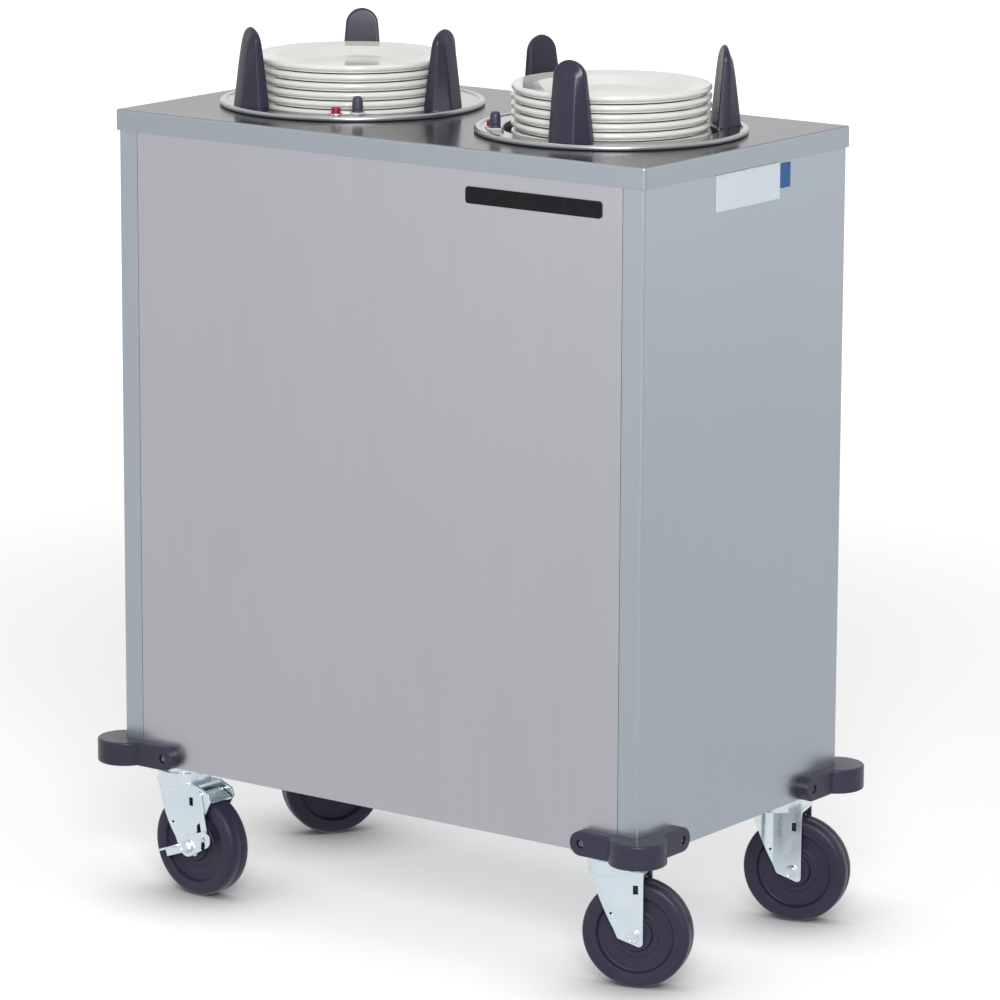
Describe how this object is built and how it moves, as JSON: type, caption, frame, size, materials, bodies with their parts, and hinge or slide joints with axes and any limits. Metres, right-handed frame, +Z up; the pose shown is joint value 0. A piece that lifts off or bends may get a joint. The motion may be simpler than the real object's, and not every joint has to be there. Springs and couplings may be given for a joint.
{
  "type": "heated plate dispenser cart",
  "caption": "Tall stainless cart with drop-in self-levelling plate silos in its top, dark guide posts, rubber corner bumpers and swivel casters.",
  "frame": {"origin": "on the floor under the middle of the cart", "axes": "+X along the cart's length, the front panel faces -Y, +Z up"},
  "size_m": [0.821, 0.4794, 1.0517],
  "materials": {
    "satin_stainless": "satin, vertical grain",
    "polished_stainless": "polished",
    "mill_steel": "mill finish",
    "zinc": "bright zinc",
    "bright_fastener": "bright",
    "post_plastic": "satin moulded",
    "switch_plastic": "moulded",
    "boot_rubber": "matt",
    "bumper_rubber": "satin",
    "tread": "satin",
    "red_lens": "translucent",
    "glazed_white": "white glaze",
    "black_badge": "black with a bright rim",
    "white_label": "white",
    "blue_tag": "blue"
  },
  "bodies": {
    "cart": {"top_cap": "polished_stainless", "side_panel_left": "satin_stainless", "side_panel_right": "satin_stainless", "front_panel": "satin_stainless", "rear_panel": "satin_stainless", "rear_panel_screws": "bright_fastener", "base_pan": "mill_steel", "base_rails": "mill_steel", "silo_flange_left": "polished_stainless", "silo_flange_right": "polished_stainless", "guide_posts_left": "post_plastic", "guide_posts_right": "post_plastic", "post_screws": "bright_fastener", "silo_tube_left": "mill_steel", "silo_tube_right": "mill_steel", "silo_bases": "mill_steel", "guide_rods": "mill_steel", "heaters": "mill_steel", "thermostats": "mill_steel", "switch_nuts": "bright_fastener", "switch_housings": "switch_plastic", "lamp_bezels": "bright_fastener", "lamp_lenses": "red_lens", "terminal_box": "mill_steel", "cord_gland": "switch_plastic", "badge_plate": "black_badge", "rating_plate": "white_label", "colour_tag": "blue_tag", "bumper_front_left": "bumper_rubber", "bumper_front_right": "bumper_rubber", "bumper_rear_left": "bumper_rubber", "bumper_rear_right": "bumper_rubber", "bumper_screws": "bright_fastener", "caster_plates": "zinc", "king_pins": "zinc", "caster_bolts": "bright_fastener"},
    "fork_front_left": {"caster_fork_front_left": "zinc", "caster_axle_front_left": "bright_fastener"},
    "wheel_front_left": {"caster_wheel_front_left": "tread"},
    "lever_front_left": {"brake_lever_front_left": "zinc"},
    "shoe_front_left": {"brake_shoe_front_left": "zinc"},
    "fork_front_right": {"caster_fork_front_right": "zinc", "caster_axle_front_right": "bright_fastener"},
    "wheel_front_right": {"caster_wheel_front_right": "tread"},
    "fork_rear_left": {"caster_fork_rear_left": "zinc", "caster_axle_rear_left": "bright_fastener"},
    "wheel_rear_left": {"caster_wheel_rear_left": "tread"},
    "lever_rear_left": {"brake_lever_rear_left": "zinc"},
    "shoe_rear_left": {"brake_shoe_rear_left": "zinc"},
    "fork_rear_right": {"caster_fork_rear_right": "zinc", "caster_axle_rear_right": "bright_fastener"},
    "wheel_rear_right": {"caster_wheel_rear_right": "tread"},
    "carrier_left": {"plate_carrier_left": "mill_steel", "carrier_springs_left": "mill_steel"},
    "stack_left": {"plate_stack_left": "glazed_white"},
    "toggle_left": {"switch_boot_left": "boot_rubber"},
    "carrier_right": {"plate_carrier_right": "mill_steel", "carrier_springs_right": "mill_steel"},
    "stack_right": {"plate_stack_right": "glazed_white"},
    "toggle_right": {"switch_boot_right": "boot_rubber"}
  },
  "joints": [
    {"name": "swivel_front_left", "type": "hinge", "parent": "cart", "child": "fork_front_left", "pos_m": [-0.3179, -0.16645, 0.136], "axis": [0, 0, 1], "continuous": true},
    {"name": "roll_front_left", "type": "hinge", "parent": "fork_front_left", "child": "wheel_front_left", "pos_m": [-0.28974, -0.16793, 0.0635], "axis": [0.0523, 0.9986, 0], "continuous": true},
    {"name": "brake_front_left", "type": "hinge", "parent": "fork_front_left", "child": "lever_front_left", "pos_m": [-0.28974, -0.16793, 0.0635], "axis": [0.0523, 0.9986, 0], "range_deg": [-25, 0]},
    {"name": "shoe_front_left", "type": "hinge", "parent": "fork_front_left", "child": "shoe_front_left", "pos_m": [-0.27376, -0.16876, 0.1294], "axis": [0.0523, 0.9986, 0], "range_deg": [0, 4.5]},
    {"name": "swivel_front_right", "type": "hinge", "parent": "cart", "child": "fork_front_right", "pos_m": [0.3179, -0.16645, 0.136], "axis": [0, 0, 1], "continuous": true},
    {"name": "roll_front_right", "type": "hinge", "parent": "fork_front_right", "child": "wheel_front_right", "pos_m": [0.3444, -0.1568, 0.0635], "axis": [-0.342, 0.9397, 0], "continuous": true},
    {"name": "swivel_rear_left", "type": "hinge", "parent": "cart", "child": "fork_rear_left", "pos_m": [-0.3179, 0.16645, 0.136], "axis": [0, 0, 1], "continuous": true},
    {"name": "roll_rear_left", "type": "hinge", "parent": "fork_rear_left", "child": "wheel_rear_left", "pos_m": [-0.33408, 0.14335, 0.0635], "axis": [0.8192, -0.5736, 0], "continuous": true},
    {"name": "brake_rear_left", "type": "hinge", "parent": "fork_rear_left", "child": "lever_rear_left", "pos_m": [-0.33408, 0.14335, 0.0635], "axis": [0.8192, -0.5736, 0], "range_deg": [-25, 0]},
    {"name": "shoe_rear_left", "type": "hinge", "parent": "fork_rear_left", "child": "shoe_rear_left", "pos_m": [-0.34325, 0.13024, 0.1294], "axis": [0.8192, -0.5736, 0], "range_deg": [0, 4.5]},
    {"name": "swivel_rear_right", "type": "hinge", "parent": "cart", "child": "fork_rear_right", "pos_m": [0.3179, 0.16645, 0.136], "axis": [0, 0, 1], "continuous": true},
    {"name": "roll_rear_right", "type": "hinge", "parent": "fork_rear_right", "child": "wheel_rear_right", "pos_m": [0.34501, 0.17422, 0.0635], "axis": [-0.2756, 0.9613, 0], "continuous": true},
    {"name": "lift_left", "type": "slide", "parent": "cart", "child": "carrier_left", "axis": [0, 0, 1], "range_m": [-0.45, 0.036], "stiffness_N_per_m": 667, "springref_m": 0.11776, "deforming": ["carrier_springs_left"]},
    {"name": "unload_left", "type": "slide", "parent": "carrier_left", "child": "stack_left", "axis": [0, 0, 1], "range_m": [0, 0.35]},
    {"name": "toggle_left", "type": "hinge", "parent": "cart", "child": "toggle_left", "pos_m": [-0.09868, -0.1054, 0.9629], "axis": [0.7638, 0.6455, 0], "range_deg": [-13, 13]},
    {"name": "lift_right", "type": "slide", "parent": "cart", "child": "carrier_right", "axis": [0, 0, 1], "range_m": [-0.45, 0.036], "stiffness_N_per_m": 667, "springref_m": 0.11786, "deforming": ["carrier_springs_right"]},
    {"name": "unload_right", "type": "slide", "parent": "carrier_right", "child": "stack_right", "axis": [0, 0, 1], "range_m": [0, 0.35]},
    {"name": "toggle_right", "type": "hinge", "parent": "cart", "child": "toggle_right", "pos_m": [0.10184, -0.108, 0.9629], "axis": [0.7826, -0.6225, 0], "range_deg": [-13, 13]}
  ],
  "couplings": [
    {"joint": "shoe_front_left", "follows": "brake_front_left", "ratio": -0.18},
    {"joint": "shoe_rear_left", "follows": "brake_rear_left", "ratio": -0.18}
  ]
}
